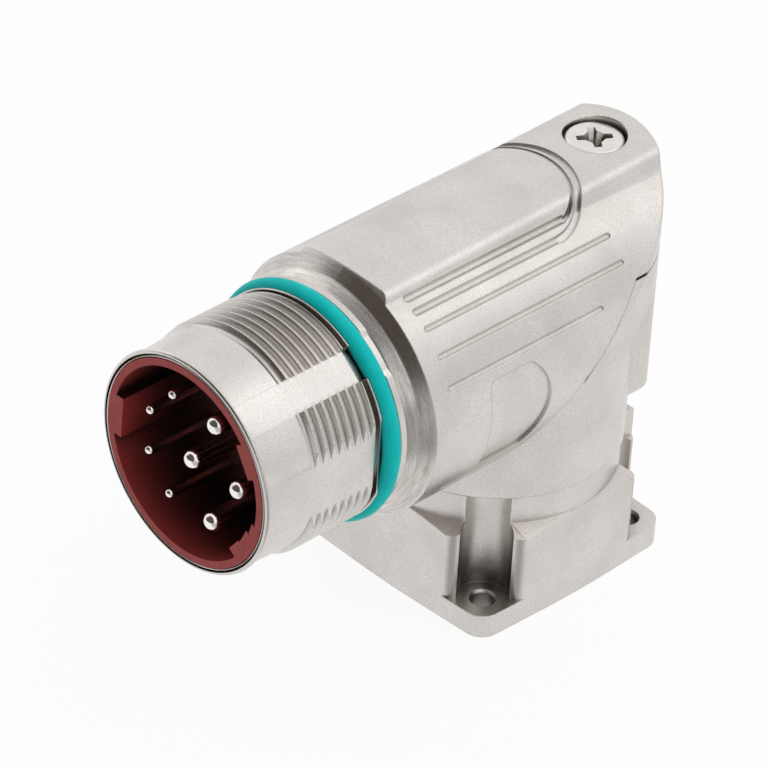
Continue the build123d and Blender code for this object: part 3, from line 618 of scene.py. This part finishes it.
def weld(mesh):
    """Merges points that lie on each other, and turns the faces of a sound mesh outwards."""
    work = bmesh.new()
    work.from_mesh(mesh)
    bmesh.ops.remove_doubles(work, verts=work.verts, dist=weld_distance * MM)
    bmesh.ops.dissolve_degenerate(work, edges=work.edges, dist=weld_distance * MM)
    bmesh.ops.recalc_face_normals(work, faces=work.faces)
    work.to_mesh(mesh)
    work.free()


def add_piece(name, mesh, body, slot, sharp):
    """Puts a mesh into the scene on a body, smooth but for edges sharper than the angle."""
    mesh.materials.append(finishes[slot])
    piece = bpy.data.objects.new(name, mesh)
    bpy.context.scene.collection.objects.link(piece)
    mesh.shade_smooth()
    mesh.set_sharp_from_angle(angle=sharp)
    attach(piece, body)
    return piece


turned = sleeve_mesh()
weld(turned)
sleeve = add_piece("threaded_sleeve", turned, "elbow", "nickel_sleeve", sharp=radians(25))
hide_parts("coupling_sleeve")

moulded = seal_mesh()
weld(moulded)
seal = add_piece("coupling_seal", moulded, "elbow", "teal_seal", sharp=radians(60))
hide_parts("coupling_o_ring")


# Cover screw: turned blank with a tapered cross pressed into its head

def prism(name, low_outline, high_outline):
    """Closed mesh between two outlines of as many points, given in millimetres."""
    count = len(low_outline)
    sides = [(i, (i + 1) % count, count + (i + 1) % count, count + i) for i in range(count)]
    mesh = bpy.data.meshes.new(name)
    points = [[value * MM for value in point] for point in low_outline + high_outline]
    mesh.from_pydata(points, [], sides + [tuple(reversed(range(count))), tuple(range(count, 2 * count))])
    return mesh


def screw_blank():
    """Head with a rounded edge and a plain shank, as a turned profile from the top to the tip."""
    steps = 72
    edge_steps = 6
    rim = screw_head_radius - screw_edge_round
    profile = [(rim / 2, screw_top), (rim, screw_top)]
    for step in range(1, edge_steps + 1):
        bend = radians(90 * step / edge_steps)
        profile.append((rim + screw_edge_round * sin(bend), screw_top - screw_edge_round * (1 - cos(bend))))
    under = screw_top - screw_head_height
    profile += [(screw_head_radius, under), (screw_shank_radius, under)]
    profile.append((screw_shank_radius, screw_low.z + screw_tip_bevel))
    profile.append((screw_shank_radius - screw_tip_bevel, screw_low.z))
    work = bmesh.new()
    rings = []
    for radius, height in profile:
        rings.append([
            work.verts.new(Vector((
                screw_axis[0] + radius * cos(2 * pi * i / steps),
                screw_axis[1] + radius * sin(2 * pi * i / steps),
                height,
            )) * MM)
            for i in range(steps)
        ])
    for upper, lower in zip(rings, rings[1:]):
        for i in range(steps):
            j = (i + 1) % steps
            work.faces.new((upper[i], lower[i], lower[j], upper[j]))
    work.faces.new(rings[0])
    work.faces.new(list(reversed(rings[-1])))
    mesh = bpy.data.meshes.new("cover_screw_turned")
    work.to_mesh(mesh)
    work.free()
    return mesh


def cross_outline(share, height):
    """Cross with broad inner corners, at a share of its full size."""
    tip_half_width = cross_half_width * cross_tip_share
    wing_points = (
        (cross_core, -cross_half_width), (cross_reach, -tip_half_width),
        (cross_reach, tip_half_width), (cross_core, cross_half_width),
    )
    points = []
    for wing in range(4):
        around = cross_turn + wing * pi / 2
        for out, side in wing_points:
            points.append((
                screw_axis[0] + share * (out * cos(around) - side * sin(around)),
                screw_axis[1] + share * (out * sin(around) + side * cos(around)),
                height,
            ))
    return points


def carved(blank, cutter):
    """Blank with the cutter's mesh taken away from it."""
    body = bpy.data.objects.new("blank", blank)
    tool = bpy.data.objects.new("cutter", cutter)
    for piece in (body, tool):
        bpy.context.scene.collection.objects.link(piece)
    cut = body.modifiers.new("cut", "BOOLEAN")
    cut.object = tool
    cut.solver = "EXACT"
    bpy.context.view_layer.update()
    mesh = bpy.data.meshes.new_from_object(body.evaluated_get(bpy.context.evaluated_depsgraph_get()))
    for piece in (body, tool):
        bpy.data.objects.remove(piece)
    return mesh


cross_low = cross_outline(cross_floor_share, screw_top - cross_depth)
cross_high = cross_outline(cross_growth, screw_top + cross_rise)
screw_head = carved(screw_blank(), prism("cross", cross_low, cross_high))
screw = add_piece("cross_recess_screw", screw_head, "elbow", "screw_steel", sharp=radians(30))
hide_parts("cover_screw")


# Rounded cheeks that lead from the flange's sides into the pockets

def cheek_outline():
    """Plan of one cheek of the pocket at +X, -Y: over the solid's rounded edge, then round the bolt hole."""
    side_steps = 8
    scallop_steps = 6
    meeting = radians(scallop_meeting)
    start = (pocket_wall - pocket_round * (1 - cos(pi / 4)), pocket_round * (1 - sin(pi / 4)) - flange_side)
    end = (bolt_half + scallop_radius * cos(meeting), scallop_radius * sin(meeting) - bolt_half)
    run = Vector((end[0] - start[0], end[1] - start[1]))
    out = Vector((run.y, -run.x)).normalized()
    points = []
    for step in range(side_steps + 1):
        share = step / side_steps
        lift = cheek_bulge * 4 * share * (1 - share)
        points.append((start[0] + run.x * share + out.x * lift, start[1] + run.y * share + out.y * lift))
    for step in range(1, scallop_steps + 1):
        around = radians(scallop_meeting - scallop_run * step / scallop_steps)
        points.append((bolt_half + scallop_radius * cos(around), scallop_radius * sin(around) - bolt_half))
    inside = pocket_wall - cheek_overlap
    points += [(inside, points[-1][1]), (inside, start[1] + cheek_overlap)]
    return points


def cheeks_mesh():
    """Both cheeks of all four pockets, up to the falling top of the block."""
    one = cheek_outline()
    work = bmesh.new()
    for corner in range(4):
        for plan in (one, [(-y, -x) for x, y in reversed(one)]):
            turned_plan = []
            for x, y in plan:
                for _ in range(corner):
                    x, y = -y, x
                turned_plan.append((x, y))
            low = [(x, y, plate_thick) for x, y in turned_plan]
            high = []
            for x, y in turned_plan:
                fall = block_fall * max(hypot(x, y) - ring_radius, 0)
                high.append((x, y, block_height - fall + cheek_rise))
            work.from_mesh(prism("cheek", low, high))
    bmesh.ops.recalc_face_normals(work, faces=work.faces)
    mesh = bpy.data.meshes.new("pocket_cheeks")
    work.to_mesh(mesh)
    work.free()
    return mesh


cheeks = add_piece("pocket_cheeks", cheeks_mesh(), "flange", "nickel_housing", sharp=radians(30))
# The cheeks' finish has painted dark reflection where their faces turn across the block's corners.
cheeks.data.materials[0] = cast_nickel("nickel_housing_cheek", edge_round=0, painted_reflection_share=0.62)


# Floor, light and camera

floor_half = 3000
floor_drop = 0.02               # below the part, so that the two do not flicker
floor_glow = 0.92               # share by which the floor is plain white, so that its shadow stays soft
# The metal's reflections see a far sector of the floor darker than the camera does: a painted dark
# reflection.
dark_reflection_azimuth = 48         # middle of the sector of the floor that the metal sees dark
dark_reflection_spread = (0.8, 0.93)     # cosines of the angle from there, at the sector's edge and well inside it
dark_reflection_start = (44, 58)     # distances from the swivel's axis over which it darkens
dark_reflection_share = 0.5
dark_room_middle = (-5, 15)     # azimuth and elevation of the part of the studio that is dark
dark_room_spread = (0.55, 0.74)
dark_room_color = (0.10, 0.085, 0.075)
horizon_light = 0.82
horizon_fade = 0.4              # height of the unit vector at which the studio has its full light


def direction(azimuth, elevation):
    """Unit vector from the object; azimuth 0 is -Y and 90 is +X."""
    a = radians(azimuth)
    e = radians(elevation)
    return Vector((sin(a) * cos(e), -cos(a) * cos(e), sin(e)))


def floor_material():
    """White floor with a soft shadow; a far sector of it is a painted dark reflection, darker only in the
    metal's reflections.
    """
    material = bpy.data.materials.new("floor")
    material.use_nodes = True
    g = Graph(material.node_tree)
    shader = g.nodes["Principled BSDF"]
    shader.inputs["Base Color"].default_value = (0.94, 0.94, 0.935, 1)
    shader.inputs["Roughness"].default_value = 0.9
    shader.inputs["Specular IOR Level"].default_value = 0.1

    place = g.nodes.new("ShaderNodeNewGeometry").outputs["Position"]
    outward = g.vector_math("NORMALIZE", place)
    facing = g.vector_math("DOT_PRODUCT", outward, direction(dark_reflection_azimuth, 0))
    in_sector = g.remap(facing, *dark_reflection_spread, 0, dark_reflection_share, smooth=True)
    near, far = dark_reflection_start
    in_distance = g.remap(g.vector_math("LENGTH", place), near * MM, far * MM, smooth=True)
    rays = g.nodes.new("ShaderNodeLightPath").outputs
    # Painted dark reflection: glossy rays see the floor's glow dimmed in the far sector.
    painted_dark_reflection = g.math("MULTIPLY", g.math("MULTIPLY", in_sector, in_distance), rays["Is Glossy Ray"])
    white = g.nodes.new("ShaderNodeEmission")
    g.feed(g.math("SUBTRACT", 1, painted_dark_reflection), white.inputs["Strength"])

    seen = g.math("MAXIMUM", rays["Is Camera Ray"], rays["Is Glossy Ray"])
    seen = g.math("MAXIMUM", seen, rays["Is Transmission Ray"])
    share = g.math("MULTIPLY", seen, floor_glow)
    both = g.mix_shaders(share, shader.outputs["BSDF"], white.outputs["Emission"])
    g.feed(both, g.nodes["Material Output"].inputs["Surface"])
    return material


floor_corners = [
    Vector((x * floor_half * MM, y * floor_half * MM, cad_low.z - floor_drop * MM))
    for x, y in ((-1, -1), (1, -1), (1, 1), (-1, 1))
]
floor_mesh = bpy.data.meshes.new("floor")
floor_mesh.from_pydata(floor_corners, [], [(0, 1, 2, 3)])
floor_mesh.materials.append(floor_material())
floor = bpy.data.objects.new("floor", floor_mesh)
bpy.context.scene.collection.objects.link(floor)


def softbox(name, azimuth, elevation, distance, size, radiance):
    """Square area lamp aimed at the middle of the object; its radiance adds to the studio's behind it."""
    lamp = bpy.data.lights.new(name, "AREA")
    lamp.shape = "SQUARE"
    lamp.size = size * MM
    lamp.energy = radiance * pi * (size * MM) ** 2
    box = bpy.data.objects.new(name, lamp)
    middle = (cad_low + cad_high) / 2
    way = direction(azimuth, elevation)
    box.location = middle + way * distance * MM
    box.rotation_euler = way.to_track_quat("Z", "Y").to_euler()
    bpy.context.scene.collection.objects.link(box)


softbox("softbox_top", azimuth=100, elevation=72, distance=420, size=300, radiance=0.5)
softbox("softbox_left", azimuth=-95, elevation=25, distance=450, size=240, radiance=0.4)
softbox("softbox_right", azimuth=145, elevation=47, distance=450, size=230, radiance=0.36)


def studio_world():
    """White studio that dims towards the horizon, with one dark part that the camera itself doesn't see."""
    world = bpy.data.worlds.new("studio")
    world.use_nodes = True
    g = Graph(world.node_tree)
    g.nodes.clear()

    way = g.nodes.new("ShaderNodeTexCoord").outputs["Generated"]
    facing = g.vector_math("DOT_PRODUCT", way, direction(*dark_room_middle))
    in_dark = g.remap(facing, *dark_room_spread, smooth=True)
    lighting = g.nodes.new("ShaderNodeBackground")
    g.feed(g.blend_colors(in_dark, (1, 1, 1), dark_room_color), lighting.inputs["Color"])
    height = g.coordinate(way, "Z")
    g.feed(g.remap(height, 0, horizon_fade, horizon_light, 1, smooth=True), lighting.inputs["Strength"])

    plain = g.nodes.new("ShaderNodeBackground")
    plain.inputs["Color"].default_value = (1, 1, 1, 1)
    rays = g.nodes.new("ShaderNodeLightPath").outputs
    seen = g.math("MAXIMUM", rays["Is Camera Ray"], rays["Is Transmission Ray"])
    both = g.mix_shaders(seen, lighting.outputs["Background"], plain.outputs["Background"])
    g.feed(both, g.nodes.new("ShaderNodeOutputWorld").inputs["Surface"])
    return world


bpy.context.scene.world = studio_world()
bpy.context.scene.view_settings.view_transform = "Standard"

camera_data = bpy.data.cameras.new("camera")
camera_data.sensor_width = view_sensor
camera_data.lens = view_lens
camera_data.clip_start = 0.01
camera_data.clip_end = 10
camera = bpy.data.objects.new("camera", camera_data)
turn = Matrix.Rotation(radians(view_azimuth), 4, "Z")
tip = Matrix.Rotation(radians(90 - view_elevation), 4, "X")
roll = Matrix.Rotation(radians(view_roll), 4, "Z")
aim = turn @ tip @ roll
aim.translation = (view_middle + direction(view_azimuth, view_elevation) * view_distance) * MM
camera.matrix_world = aim
bpy.context.scene.collection.objects.link(camera)
bpy.context.scene.camera = camera
